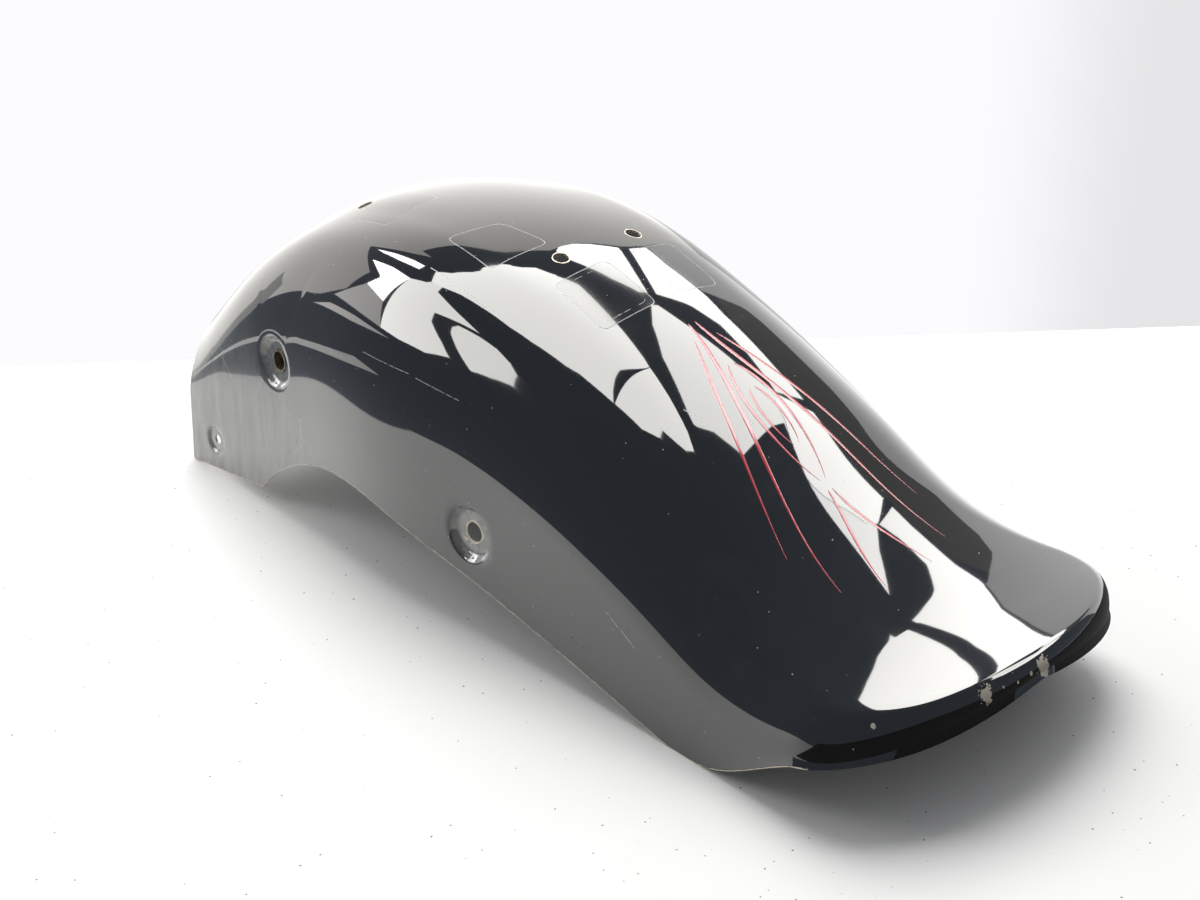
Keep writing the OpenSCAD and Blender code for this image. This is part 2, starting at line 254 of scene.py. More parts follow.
def ring_plan(spot):
    """Ring numbers and radii: even inside the hole, then closer where the dish bends."""
    h = spot["hole_ring"]
    if "rim" in spot:
        flat = spot["floor"] - spot["hole"]
        inner = spot["hole"] + flat * np.array([0, 0.4, 0.8, 1.0])
        wall = np.linspace(spot["floor"], spot["rim"], spot["last"] - h - 3 + 1)[1:]
        radii = np.concatenate([inner, wall])
    else:
        radii = spot["hole"] + np.array([0, 0.9, 2.6])
    numbers = np.concatenate([[0], h + np.arange(len(radii))])
    spot["ring_no"], spot["ring_r"] = numbers, np.concatenate([[0], radii])
    spot["last"] = int(numbers[-1])
    spot["step"] = 1.8
    return spot


def pressed_half(along):
    """The half section grid with dished seats and round holes worked into it, and the cells to leave out."""
    grid = half_section(along)
    gone = np.zeros(grid.shape[:2], bool)
    straight = along < CORNER_X - 1
    for spot in TOP_HOLES:
        ring_plan(spot)
        sub = grid[straight]
        u, v, _, moved, hole = squared_rings(sub, sub[..., :2], spot, 1)
        part = np.where(moved[..., None], crown_surface(u, v), sub)
        grid[straight] = part
        gone[straight] |= hole
    for spot in (FRONT_SEAT, REAR_SEAT, SMALL_SEAT):
        ring_plan(spot)
        sub = grid[straight]
        side = np.arange(COLS + 1) >= CROWN_COLS + 6
        native = sub[:, :, (0, 2)].copy()
        native[:, ~side] = 1e4
        u, v, radius, moved, hole = squared_rings(sub, native, spot, -1)
        skin = flank_surface(u, v)
        x0, z0 = (np.array([c]) for c in spot["at"])
        r = spot["rim"] - 1.0
        back, fore = flank_surface(x0 + r, z0), flank_surface(x0 - r, z0)
        over, under = flank_surface(x0, z0 + r), flank_surface(x0, z0 - r)
        here = ((over + under) / 4 + flank_surface(x0, z0) / 2)[0]
        along_x = (back - fore)[0] / (2 * r)
        along_z = (over - under)[0] / (2 * r)
        out = np.cross(along_z, along_x)
        out *= np.sign(out[1]) / np.linalg.norm(out)
        floor = here + (u - x0)[..., None] * along_x + (v - z0)[..., None] * along_z - out * spot["depth"]
        sunk = ramp((spot["rim"] - radius) / (spot["rim"] - spot["floor"]))[..., None]
        part = skin * (1 - sunk) + floor * sunk
        grid[straight] = np.where(moved[..., None], part, sub)
        gone[straight] |= hole
    return grid, gone


def shell_mesh():
    """Both halves as one sheet: rows run from the front of the right flank round the tail to the left."""
    places = ((34, 34), (123.5, 44), (347.5, 36))
    along = spaced_rows(7.0, 2.0, places, 30)
    half, gone = pressed_half(along)
    n, c = half.shape[:2]
    left = half[:-1] * (1, -1, 1)
    points = np.concatenate([half, left[::-1]])
    gone = np.concatenate([gone, gone[:-1][::-1]])
    points[..., 0] -= MID_X
    rows = len(points)
    k, j = np.meshgrid(np.arange(rows), np.arange(c), indexing="ij")
    number = k * c + j
    mirror_row = n - 1 - np.abs(k - (n - 1))
    number = np.where(j == 0, mirror_row * c, number)
    quads = np.stack([number[:-1, :-1], number[1:, :-1], number[1:, 1:], number[:-1, 1:]], -1)
    inside = gone[:-1, :-1] & gone[:-1, 1:] & gone[1:, 1:] & gone[1:, :-1]
    quads = quads[~inside].reshape(-1, 4)
    above_edge = (points[..., 2] - points[:, -1:, 2]).reshape(-1)
    return points.reshape(-1, 3) * MM, quads, above_edge


def solid_from(name, points, quads, material, above_edge=None):
    """A mesh from points and four-sided faces, without unused points.

    A face with a doubled corner becomes a triangle. above_edge is kept as an attribute, in mm.
    """
    used, back = np.unique(quads, return_inverse=True)
    quads = back.reshape(quads.shape)
    same = quads[:, 1] == quads[:, 0]
    faces = [q[1:] if s else q for q, s in zip(quads.tolist(), same.tolist())]
    mesh = bpy.data.meshes.new(name)
    mesh.from_pydata(points[used].tolist(), [], faces)
    if above_edge is not None:
        mesh.attributes.new("above_edge", "FLOAT", "POINT").data.foreach_set(
            "value", above_edge[used].astype(np.float32),
        )
    mesh.shade_smooth()
    mesh.update()
    thing = bpy.data.objects.new(name, mesh)
    bpy.context.scene.collection.objects.link(thing)
    mesh.materials.append(material)
    return thing


def colour(hex_code):
    """sRGB hex to linear colour."""
    parts = np.array([int(hex_code[i : i + 2], 16) for i in (1, 3, 5)]) / 255
    linear = np.where(parts <= 0.04045, parts / 12.92, ((parts + 0.055) / 1.055) ** 2.4)
    return (*linear.tolist(), 1.0)


def add_node(tree, kind, settings=None, inputs=None):
    """Adds a node, sets its properties, and sets or links its inputs."""
    node = tree.nodes.new(kind)
    for key, value in (settings or {}).items():
        setattr(node, key, value)
    for key, value in (inputs or {}).items():
        if isinstance(value, bpy.types.NodeSocket):
            tree.links.new(value, node.inputs[key])
        else:
            node.inputs[key].default_value = value
    return node


def new_material(name):
    made = bpy.data.materials.new(name)
    made.use_nodes = True
    made.node_tree.nodes.clear()
    return made, made.node_tree


CROWN_FROM = 150.0  # mm above the floor: film patches and crown holes lie above it
FLANK_ENDS = 640.0  # mm from the front edge: behind it the lower edge is the lip's
# Clear film patches on the crown, corners in mm from the front edge and from the middle
FILM_PATCHES = (
    ((350.1, -56.4), (350.1, -9.8), (395.9, -8.4), (396.7, -56.7)),
    ((260.8, -68.1), (311.1, -73.2), (315.8, -27.6), (273.8, -32.5)),
    ((349.3, 13.1), (394.2, 15.7), (395.0, 50.0), (349.3, 51.2)),
    ((148.4, -62.1), (199.6, -69.2), (202.1, -23.4), (150.0, -22.0)),
)
# Fine scratches seen from above: both ends (x, y) in mm, width in mm
CROWN_SCRATCHES = (
    ((269.2, -89.2), (326.7, -91.8), 0.5),
    ((463.0, -54.0), (475.0, -46.0), 0.6),
    ((570.0, 18.0), (580.0, 20.0), 0.7),
)
# Scratches and rubs on the near flank: both ends (x, z) in mm, width in mm
FLANK_SCRATCHES = (
    ((38.0, 114.0), (64.0, 88.0), 0.5),
    ((240.0, 166.0), (287.0, 165.0), 0.5),
    ((294.0, 164.0), (333.0, 160.0), 0.5),
    ((474.0, 68.0), (484.0, 62.0), 0.5),
    ((487.0, 61.0), (499.0, 54.0), 0.5),
)
# Chips down to primer and steel: place (x, y, z) in mm and reach in mm
CHIPS = (
    ((691.0, -47.0, 71.0), 5.4),
    ((696.0, 3.0, 69.0), 6.4),
    ((695.0, -9.0, 70.0), 1.5),
    ((694.5, -21.0, 69.5), 1.1),
    ((692.5, -33.0, 70.5), 1.3),
    ((672.8, -74.2, 76.5), 1.3),
    ((665.0, -114.0, 69.6), 2.0),
    ((126.5, -120.0, 101.5), 2.6),
    ((340.0, -128.0, 64.5), 3.2),
    ((344.5, -128.0, 62.0), 2.4),
)


def patch_depth(tree, place, corners):
    """How far a point lies inside a four-cornered patch seen from above: the least of the distances
    to its four sides, smoothed so that the corners are round."""
    corners = np.array(corners)
    middle = corners.mean(0)
    least = None
    for start, end in zip(corners, np.roll(corners, -1, axis=0)):
        inward = np.array([start[1] - end[1], end[0] - start[0]]) / np.linalg.norm(end - start)
        inward *= np.sign(inward @ (middle - start))
        across = add_node(
            tree, "ShaderNodeVectorMath", {"operation": "DOT_PRODUCT"}, {0: place, 1: (*inward.tolist(), 0.0)},
        )
        side = add_node(
            tree, "ShaderNodeMath", {"operation": "SUBTRACT"},
            {0: across.outputs["Value"], 1: float(inward @ start)},
        )
        if least:
            side = add_node(
                tree, "ShaderNodeMath", {"operation": "SMOOTH_MIN"},
                {0: least.outputs[0], 1: side.outputs[0], 2: 9.0},
            )
        least = side
    return least.outputs[0]


def stroke_mask(tree, place, start, end, width):
    """1 within half the width of the straight line from start to end, else 0."""
    way = np.array(end) - np.array(start)
    from_start = add_node(tree, "ShaderNodeVectorMath", {"operation": "SUBTRACT"}, {0: place, 1: start})
    share = add_node(
        tree, "ShaderNodeVectorMath", {"operation": "DOT_PRODUCT"},
        {0: from_start.outputs[0], 1: (way / (way @ way)).tolist()},
    )
    share = add_node(tree, "ShaderNodeClamp", {}, {0: share.outputs["Value"]})
    foot = add_node(
        tree, "ShaderNodeVectorMath", {"operation": "SCALE"}, {0: way.tolist(), "Scale": share.outputs[0]},
    )
    gap = add_node(
        tree, "ShaderNodeVectorMath", {"operation": "DISTANCE"}, {0: from_start.outputs[0], 1: foot.outputs[0]},
    )
    return add_node(
        tree, "ShaderNodeMath", {"operation": "LESS_THAN"}, {0: gap.outputs["Value"], 1: width / 2},
    ).outputs[0]


def largest(tree, masks):
    """The largest of several masks at each point."""
    top = masks[0]
    for mask in masks[1:]:
        top = add_node(tree, "ShaderNodeMath", {"operation": "MAXIMUM"}, {0: top, 1: mask}).outputs[0]
    return top


def product(tree, *masks):
    """Masks multiplied together."""
    whole = masks[0]
    for mask in masks[1:]:
        whole = add_node(tree, "ShaderNodeMath", {"operation": "MULTIPLY"}, {0: whole, 1: mask}).outputs[0]
    return whole


def gloss_black_lacquer():
    """Two-pack black lacquer, sprayed and polished: deep black under a clear glossy top.

    The eye gets sharp mirror images, thin square outlines of clear film, fine scratches, a pale veil
    low on the front leg, and chips where pale primer and steel show at the lip, holes and lower edge.
    """
    made, tree = new_material("gloss_black_lacquer")
    spot = add_node(tree, "ShaderNodeTexCoord").outputs["Object"]
    # place in mm, x from the front edge
    place = add_node(
        tree, "ShaderNodeMapping", {}, {0: spot, "Location": (MID_X, 0, 0), "Scale": (1000, 1000, 1000)},
    ).outputs[0]
    above = add_node(
        tree, "ShaderNodeVectorMath", {"operation": "MULTIPLY"}, {0: place, 1: (1, 1, 0)},
    ).outputs[0]
    beside = add_node(
        tree, "ShaderNodeVectorMath", {"operation": "MULTIPLY"}, {0: place, 1: (1, 0, 1)},
    ).outputs[0]
    part = add_node(tree, "ShaderNodeSeparateXYZ", {}, {0: place})
    near_side = add_node(
        tree, "ShaderNodeMath", {"operation": "LESS_THAN"}, {0: part.outputs[1], 1: 0.0},
    ).outputs[0]
    edge_height = add_node(tree, "ShaderNodeAttribute", {"attribute_name": "above_edge"}).outputs["Fac"]
    # noise with features of 5 mm and of 1.6 mm, and fine grain of 0.6 mm
    patchy = add_node(
        tree, "ShaderNodeTexNoise", {}, {"Vector": place, "Scale": 1 / 5, "Detail": 4.0, "Roughness": 0.6},
    ).outputs["Fac"]
    ragged = add_node(
        tree, "ShaderNodeTexNoise", {}, {"Vector": place, "Scale": 1 / 1.6, "Detail": 3.0, "Roughness": 0.65},
    ).outputs["Fac"]
    grain = add_node(
        tree, "ShaderNodeTexNoise", {}, {"Vector": place, "Scale": 1 / 0.6, "Detail": 2.0},
    ).outputs["Fac"]

    # clear film: square patches with a cut edge that catches the light
    depths = [patch_depth(tree, place, corners) for corners in FILM_PATCHES]
    depth = largest(tree, depths)
    on_top = add_node(
        tree, "ShaderNodeMath", {"operation": "GREATER_THAN"}, {0: part.outputs[2], 1: CROWN_FROM},
    ).outputs[0]
    film = product(
        tree, add_node(tree, "ShaderNodeMapRange", {}, {"Value": depth, 1: 0.0, 2: 0.3}).outputs[0], on_top,
    )
    cut = add_node(tree, "ShaderNodeMath", {"operation": "COMPARE"}, {0: depth, 1: 0.1, 2: 0.28}).outputs[0]
    inner_line = add_node(tree, "ShaderNodeMath", {"operation": "COMPARE"}, {0: depths[0], 1: 4.2, 2: 0.16})
    line_breaks = add_node(tree, "ShaderNodeMath", {"operation": "GREATER_THAN"}, {0: patchy, 1: 0.5})
    second_cut = product(tree, inner_line.outputs[0], line_breaks.outputs[0])
    film_edge = product(tree, largest(tree, [cut, second_cut]), on_top)

    # fine scratches, broken by the grain
    scored = [stroke_mask(tree, above, (*a, 0), (*b, 0), width) for a, b, width in CROWN_SCRATCHES]
    scored = product(tree, largest(tree, scored), on_top)
    rubbed = [
        stroke_mask(tree, beside, (a[0], 0, a[1]), (b[0], 0, b[1]), width)
        for a, b, width in FLANK_SCRATCHES]
    rubbed = product(tree, largest(tree, rubbed), near_side)
    broken = add_node(tree, "ShaderNodeMath", {"operation": "GREATER_THAN"}, {0: ragged, 1: 0.44}).outputs[0]
    scratches = product(tree, largest(tree, [scored, rubbed]), broken)

    # settled dust specks, one in a cell of 4 mm where the draw is high
    cells = add_node(tree, "ShaderNodeTexVoronoi", {}, {"Vector": place, "Scale": 1 / 4})
    drawn = add_node(tree, "ShaderNodeSeparateColor", {}, {0: cells.outputs["Color"]})
    speck_size = add_node(
        tree, "ShaderNodeMapRange", {}, {"Value": drawn.outputs[0], 1: 0.8, 2: 1.0, 3: 0.0, 4: 0.11},
    ).outputs[0]
    specks = add_node(
        tree, "ShaderNodeMath", {"operation": "LESS_THAN"}, {0: cells.outputs["Distance"], 1: speck_size},
    ).outputs[0]

    # haze: a pale veil in upright streaks that grows towards the front and the bottom of the leg, and wiped
    # patches elsewhere
    drawn_out = add_node(tree, "ShaderNodeMapping", {}, {0: place, "Scale": (1 / 9, 1 / 30, 1 / 70)}).outputs[0]
    streaks = add_node(
        tree, "ShaderNodeTexNoise", {}, {"Vector": drawn_out, "Scale": 1.0, "Detail": 5.0, "Roughness": 0.62},
    ).outputs["Fac"]
    streaks = add_node(tree, "ShaderNodeMapRange", {}, {"Value": streaks, 1: 0.36, 2: 0.72}).outputs[0]
    towards_front = add_node(
        tree, "ShaderNodeMapRange", {"interpolation_type": "SMOOTHSTEP"},
        {"Value": part.outputs[0], 1: 330.0, 2: 20.0},
    ).outputs[0]
    low_down = add_node(
        tree, "ShaderNodeMapRange", {"interpolation_type": "SMOOTHSTEP"},
        {"Value": part.outputs[2], 1: 160.0, 2: 70.0},
    ).outputs[0]
    front_leg_veil = product(tree, towards_front, low_down)
    front_leg_veil = product(
        tree, front_leg_veil,
        add_node(tree, "ShaderNodeMapRange", {}, {"Value": streaks, 3: 0.55, 4: 1.0}).outputs[0],
    )
    wiped = add_node(
        tree, "ShaderNodeTexNoise", {}, {"Vector": place, "Scale": 1 / 46, "Detail": 3.0},
    ).outputs["Fac"]
    wiped = add_node(tree, "ShaderNodeMapRange", {}, {"Value": wiped, 1: 0.56, 2: 0.8, 4: 0.06}).outputs[0]
    haze = largest(tree, [front_leg_veil, product(tree, wiped, streaks)])

    # bare steel and primer: chips, the turned edges of holes, and the rubbed lower edge
    bare = []
    for at, reach in CHIPS:
        gap = add_node(
            tree, "ShaderNodeVectorMath", {"operation": "DISTANCE"}, {0: place, 1: at},
        ).outputs["Value"]
        bitten = add_node(
            tree, "ShaderNodeMath", {"operation": "MULTIPLY_ADD"}, {0: ragged, 1: -1.1 * reach, 2: gap},
        ).outputs[0]
        bitten = add_node(
            tree, "ShaderNodeMath", {"operation": "MULTIPLY_ADD"}, {0: patchy, 1: -1.9 * reach, 2: bitten},
        ).outputs[0]
        bare.append(
            add_node(
                tree, "ShaderNodeMath", {"operation": "LESS_THAN"}, {0: bitten, 1: -0.62 * reach},
            ).outputs[0]
        )
    for hole in TOP_HOLES:
        for side in (-1, 1):
            gap = add_node(
                tree, "ShaderNodeVectorMath", {"operation": "DISTANCE"},
                {0: above, 1: (hole["at"][0], side * hole["at"][1], 0)},
            ).outputs["Value"]
            worn = add_node(
                tree, "ShaderNodeMath", {"operation": "MULTIPLY_ADD"}, {0: patchy, 1: -1.6, 2: gap},
            ).outputs[0]
            bare.append(
                product(
                    tree,
                    add_node(
                        tree, "ShaderNodeMath", {"operation": "LESS_THAN"}, {0: worn, 1: hole["hole"] - 0.05},
                    ).outputs[0],
                    on_top,
                )
            )
    for seat, reach in ((REAR_SEAT, 1.9), (SMALL_SEAT, 0.8)):
        gap = add_node(
            tree, "ShaderNodeVectorMath", {"operation": "DISTANCE"},
            {0: beside, 1: (seat["at"][0], 0, seat["at"][1])},
        ).outputs["Value"]
        worn = add_node(
            tree, "ShaderNodeMath", {"operation": "MULTIPLY_ADD"}, {0: patchy, 1: -2 * reach, 2: gap},
        ).outputs[0]
        bare.append(
            add_node(
                tree, "ShaderNodeMath", {"operation": "LESS_THAN"}, {0: worn, 1: seat["hole"] - 0.25 * reach},
            ).outputs[0]
        )
    thin_edge = add_node(
        tree, "ShaderNodeMath", {"operation": "MULTIPLY_ADD"}, {0: patchy, 1: -2.0, 2: edge_height},
    ).outputs[0]
    on_flank = add_node(
        tree, "ShaderNodeMath", {"operation": "LESS_THAN"}, {0: part.outputs[0], 1: FLANK_ENDS},
    ).outputs[0]
    bare.append(
        product(
            tree,
            add_node(tree, "ShaderNodeMath", {"operation": "LESS_THAN"}, {0: thin_edge, 1: -0.45}).outputs[0],
            on_flank,
        )
    )
    bare = largest(tree, bare)

    # the dishes are scuffed by washers and dust lies in them
    worn_seats = []
    for seat in (FRONT_SEAT, REAR_SEAT, SMALL_SEAT):
        gap = add_node(
            tree, "ShaderNodeVectorMath", {"operation": "DISTANCE"},
            {0: beside, 1: (seat["at"][0], 0, seat["at"][1])},
        ).outputs["Value"]
        worn_seats.append(
            add_node(
                tree, "ShaderNodeMapRange", {"interpolation_type": "SMOOTHSTEP"},
                {"Value": gap, 1: seat["rim"], 2: seat["rim"] - 4.0},
            ).outputs[0]
        )
    worn_seats = largest(tree, worn_seats)
    haze = largest(
        tree,
        [
            haze,
            product(
                tree, worn_seats,
                add_node(
                    tree, "ShaderNodeMapRange", {}, {"Value": patchy, 1: 0.25, 2: 0.75, 3: 0.4, 4: 1.0},
                ).outputs[0],
            ),
        ],
    )

    marks = largest(tree, [
        add_node(tree, "ShaderNodeMath", {"operation": "MULTIPLY"}, {0: film_edge, 1: 0.55}).outputs[0],
        add_node(tree, "ShaderNodeMath", {"operation": "MULTIPLY"}, {0: scratches, 1: 0.7}).outputs[0],
        add_node(tree, "ShaderNodeMath", {"operation": "MULTIPLY"}, {0: specks, 1: 0.8}).outputs[0],
    ])
    hazed = add_node(tree, "ShaderNodeMath", {"operation": "MULTIPLY"}, {0: haze, 1: 0.42}).outputs[0]
    veil = largest(tree, [marks, hazed])
    base = add_node(
        tree, "ShaderNodeMix", {"data_type": "RGBA"}, {0: veil, 6: colour("#050506"), 7: colour("#c2c2bd")},
    ).outputs[2]
    metal = add_node(
        tree, "ShaderNodeMix", {"data_type": "RGBA"}, {0: grain, 6: colour("#a79d8b"), 7: colour("#d9d1c2")},
    ).outputs[2]
    base = add_node(tree, "ShaderNodeMix", {"data_type": "RGBA"}, {0: bare, 6: base, 7: metal}).outputs[2]
    dull = add_node(
        tree, "ShaderNodeMath", {"operation": "MULTIPLY_ADD"}, {0: veil, 1: 0.4, 2: 0.04},
    ).outputs[0]
    dull = add_node(
        tree, "ShaderNodeMath", {"operation": "MULTIPLY_ADD"}, {0: film, 1: 0.05, 2: dull},
    ).outputs[0]
    dull = add_node(
        tree, "ShaderNodeMath", {"operation": "MULTIPLY_ADD"}, {0: bare, 1: 0.42, 2: dull},
    ).outputs[0]
    uncoated = add_node(
        tree, "ShaderNodeMath", {"operation": "MULTIPLY_ADD"}, {0: film, 1: 0.1, 2: marks},
    ).outputs[0]
    uncoated = largest(tree, [uncoated, bare])
    coat = add_node(
        tree, "ShaderNodeMath", {"operation": "SUBTRACT", "use_clamp": True}, {0: 1.0, 1: uncoated},
    ).outputs[0]
    # heights in mm: film 0.12, chips 0.15 deep, orange peel under a thousandth
    height = add_node(tree, "ShaderNodeMath", {"operation": "MULTIPLY"}, {0: film, 1: 0.12}).outputs[0]
    height = add_node(
        tree, "ShaderNodeMath", {"operation": "MULTIPLY_ADD"}, {0: bare, 1: -0.15, 2: height},
    ).outputs[0]
    height = add_node(
        tree, "ShaderNodeMath", {"operation": "MULTIPLY_ADD"}, {0: patchy, 1: 0.0012, 2: height},
    ).outputs[0]
    relief = add_node(tree, "ShaderNodeBump", {}, {"Height": height, "Distance": MM, "Strength": 1.0})
    shader = add_node(tree, "ShaderNodeBsdfPrincipled", {}, {
        "Base Color": base,
        "Metallic": product(tree, bare, grain),
        "Roughness": dull,
        "IOR": 1.5,
        "Coat Weight": coat,
        "Coat Roughness": 0.015,
        "Coat IOR": 1.5,
        "Normal": relief.outputs[0],
    })
    tree.links.new(relief.outputs[0], shader.inputs["Coat Normal"])
    add_node(tree, "ShaderNodeOutputMaterial", {}, {"Surface": shader.outputs[0]})
    return made


def turned_steel():
    """Bare turned steel, dulled and a little brown with age: fine tool marks and brown stain."""
    made, tree = new_material("turned_steel")
    spot = add_node(tree, "ShaderNodeTexCoord").outputs["Object"]
    # stain of 3 mm and tool marks of 0.4 mm
    stain = add_node(
        tree, "ShaderNodeTexNoise", {}, {"Vector": spot, "Scale": 330.0, "Detail": 4.0},
    ).outputs["Fac"]
    marks = add_node(
        tree, "ShaderNodeTexNoise", {}, {"Vector": spot, "Scale": 2500.0, "Detail": 2.0},
    ).outputs["Fac"]
    stained = add_node(tree, "ShaderNodeMapRange", {}, {"Value": stain, 1: 0.4, 2: 0.62}).outputs[0]
    base = add_node(
        tree, "ShaderNodeMix", {"data_type": "RGBA"}, {0: stained, 6: colour("#9b917f"), 7: colour("#5f5243")},
    ).outputs[2]
    dull = add_node(
        tree, "ShaderNodeMapRange", {}, {"Value": stain, 1: 0.3, 2: 0.7, 3: 0.3, 4: 0.55},
    ).outputs[0]
    relief = add_node(tree, "ShaderNodeBump", {}, {"Height": marks, "Distance": 0.00002, "Strength": 1.0})
    shader = add_node(tree, "ShaderNodeBsdfPrincipled", {}, {
        "Base Color": base,
        "Metallic": 1.0,
        "Roughness": dull,
        "Normal": relief.outputs[0],
    })
    add_node(tree, "ShaderNodeOutputMaterial", {}, {"Surface": shader.outputs[0]})
    return made


def pinstripe_enamel():
    """Red one-shot enamel laid with a long soft brush: glossy, a little thicker and darker in places."""
    made, tree = new_material("pinstripe_enamel")
    spot = add_node(tree, "ShaderNodeTexCoord").outputs["Object"]
    # paint load changes over about 12 mm, brush hairs of 0.3 mm
    load = add_node(
        tree, "ShaderNodeTexNoise", {}, {"Vector": spot, "Scale": 80.0, "Detail": 3.0},
    ).outputs["Fac"]
    hairs = add_node(
        tree, "ShaderNodeTexNoise", {}, {"Vector": spot, "Scale": 3300.0, "Detail": 1.0},
    ).outputs["Fac"]
    base = add_node(
        tree, "ShaderNodeMix", {"data_type": "RGBA"}, {0: load, 6: colour("#a81f2e"), 7: colour("#d6323f")},
    ).outputs[2]
    relief = add_node(tree, "ShaderNodeBump", {}, {"Height": hairs, "Distance": 0.000004, "Strength": 1.0})
    shader = add_node(tree, "ShaderNodeBsdfPrincipled", {}, {
        "Base Color": base,
        "Roughness": 0.12,
        "IOR": 1.5,
        "Coat Weight": 1.0,
        "Coat Roughness": 0.03,
        "Coat IOR": 1.5,
        "Normal": relief.outputs[0],
    })
    add_node(tree, "ShaderNodeOutputMaterial", {}, {"Surface": shader.outputs[0]})
    return made


lacquer = gloss_black_lacquer()
steel = turned_steel()
red_enamel = pinstripe_enamel()

# A plain traditional pinstripe, the same on both sides of the spine: four corners of a cubic each,
# (x, y) in mm, and the widest place of the stroke in mm
STROKES = (
    (((418, 3), (455, 6), (500, 34), (588, 50)), 3.2),
    (((430, 10), (468, 30), (505, 44), (556, 62)), 2.4),
    (((452, 2.5), (470, 17), (505, 17), (530, 2.5)), 2.6),
    (((470, 2.5), (480, 9), (497, 9), (508, 2.5)), 2.0),
    (((536, 2), (556, 5), (575, 17), (600, 22)), 2.6),
)


def brush_strokes(steps=72):
    """Raised strokes on the crown: along each cubic, five points across, widest just after its start
    and tapering to a fine tail (sine of pi times the root of the share), arched 0.09 mm high."""
    t = np.linspace(0, 1, steps)[:, None]
    across = np.array([-1, -0.7, 0, 0.7, 1])
    arch = np.array([-0.03, 0.06, 0.09, 0.06, -0.03])
    points, quads = [], []
    for corners, widest in STROKES:
        p = np.array(corners, float)
        path = (1 - t) ** 3 * p[0] + 3 * (1 - t) ** 2 * t * p[1] + 3 * (1 - t) * t**2 * p[2] + t**3 * p[3]
        way = np.gradient(path, axis=0)
        way /= np.linalg.norm(way, axis=1)[:, None]
        side = np.stack([-way[:, 1], way[:, 0]], -1)
        half = widest / 2 * (0.12 + 0.88 * np.sin(np.pi * t[:, 0] ** 0.6) ** 0.8)
        flat = path[:, None] + side[:, None] * (half[:, None] * across)[..., None]
        for mirror in (1, -1):
            spread = flat * (1, mirror)
            skin = crown_surface(spread[..., 0], spread[..., 1])
            skin[..., 2] += arch
            skin[..., 0] -= MID_X
            k, j = np.meshgrid(np.arange(steps - 1), np.arange(4), indexing="ij")
            first = sum(len(q) for q in points) + k * 5 + j
            cell = np.stack([first, first + 5, first + 6, first + 1], -1).reshape(-1, 4)
            quads.append(cell if mirror > 0 else cell[:, ::-1])
            points.append(skin.reshape(-1, 3))
    return np.concatenate(points) * MM, np.concatenate(quads)


points, quads, above_edge = shell_mesh()
shell = solid_from("fender_skin", points, quads, lacquer, above_edge)
sheet = shell.modifiers.new("sheet", "SOLIDIFY")
sheet.thickness = SHEET * MM
sheet.offset = -1
round_edge = shell.modifiers.new("edges", "BEVEL")
round_edge.width = 0.35 * MM
round_edge.segments = 2
round_edge.limit_method = "ANGLE"
round_edge.angle_limit = np.radians(55)
round_edge.harden_normals = True
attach(shell, "root")
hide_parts("fender_shell")

stripes = solid_from("pinstripe", *brush_strokes(), red_enamel)
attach(stripes, "root")
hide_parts("fender_shell")

for node in ("front_bush_left", "front_bush_right"):
    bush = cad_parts[node]
    bush.data.materials.clear()
    bush.data.materials.append(steel)


def plane(name, corners, material):
    mesh = bpy.data.meshes.new(name)
    mesh.from_pydata(corners, [], [tuple(range(len(corners)))])
    mesh.materials.append(material)
    thing = bpy.data.objects.new(name, mesh)
    bpy.context.scene.collection.objects.link(thing)
    return thing


def towards(azimuth, elevation, distance):
    """Point at an azimuth and elevation in degrees, seen from the middle of the fender."""
    a, e = np.radians((azimuth, elevation))
    return Vector((np.cos(e) * np.cos(a), np.cos(e) * np.sin(a), np.sin(e))) * distance


def glow(name, radiance, tint="#ffffff"):
    """Plain lit cloth or ceiling, as bright as given."""
    made, tree = new_material(name)
    shader = add_node(tree, "ShaderNodeEmission", {}, {"Color": colour(tint), "Strength": radiance})
    add_node(tree, "ShaderNodeOutputMaterial", {}, {"Surface": shader.outputs[0]})
    return made


def only_in_gloss(thing):
    """Surroundings that the gloss mirrors, out of the camera's sight and out of the light on the floor."""
    thing.visible_camera = False
    thing.visible_diffuse = False
    thing.visible_shadow = False
    thing.visible_volume_scatter = False


def far_panel(name, corners, material, distance=20.0):
    """A panel far out with corners at the given azimuths and elevations, fanned from its middle."""
    rim = [towards(a, e, distance) for a, e in corners]
    middle = sum(rim, Vector()) / len(rim)
    mesh = bpy.data.meshes.new(name)
    fan = [(len(rim), i, (i + 1) % len(rim)) for i in range(len(rim))]
    mesh.from_pydata([*rim, middle], [], fan)
    mesh.materials.append(material)
    thing = bpy.data.objects.new(name, mesh)
    bpy.context.scene.collection.objects.link(thing)
    only_in_gloss(thing)
    return thing


